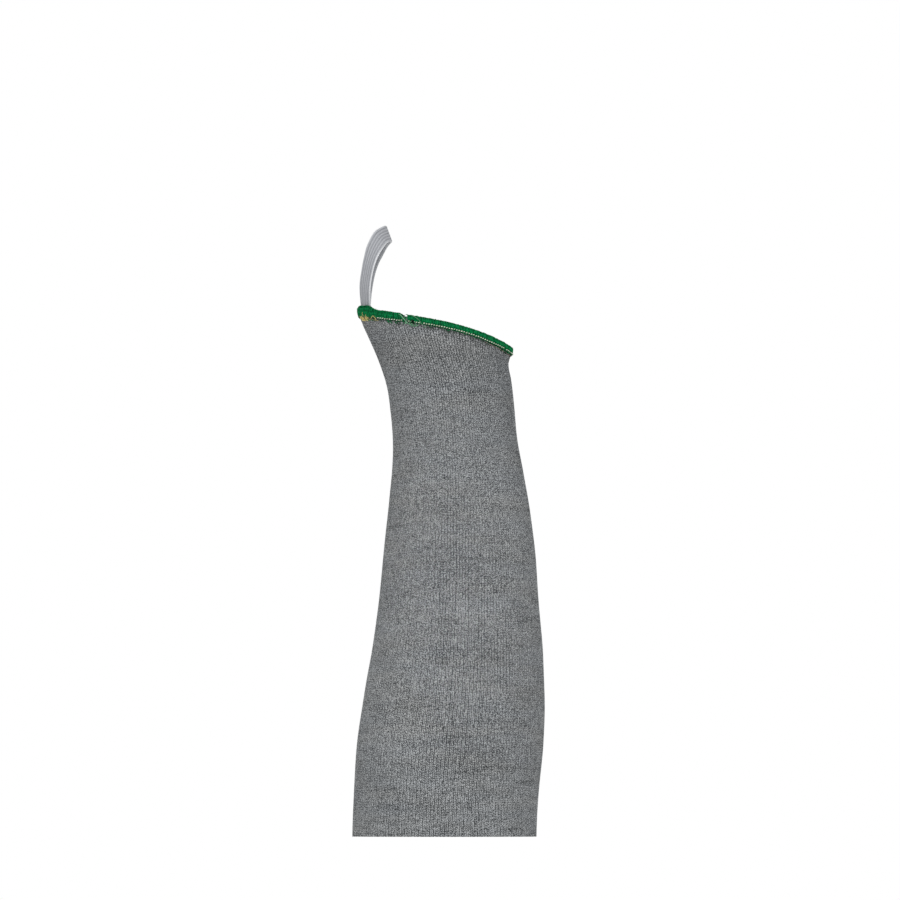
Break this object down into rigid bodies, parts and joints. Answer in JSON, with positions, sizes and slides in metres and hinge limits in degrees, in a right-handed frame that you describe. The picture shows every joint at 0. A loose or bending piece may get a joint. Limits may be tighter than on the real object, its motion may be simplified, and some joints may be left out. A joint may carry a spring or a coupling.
{
  "type": "cut resistant sleeve",
  "caption": "Seamless knitted forearm sleeve with an overlocked cuff edge, a plain cut arm end and a ribbed elastic loop that goes round the thumb",
  "frame": {"origin": "The middle of the narrowest part of the wrist, where the sleeve grips", "axes": "+Z along the forearm from the arm end to the thumb loop, -Y towards the back of the hand, +X towards the little finger's side"},
  "size_m": [0.1051, 0.088, 0.3361],
  "materials": {
    "knit_sleeve": "grey marl jersey knit, matt",
    "cuff_overlock": "green overlock thread, soft sheen",
    "thumb_elastic": "white ribbed woven elastic, soft sheen"
  },
  "bodies": {
    "root": {"knit_sleeve": "knit_sleeve", "cuff_overlock": "cuff_overlock", "thumb_elastic": "thumb_elastic"}
  },
  "joints": []
}
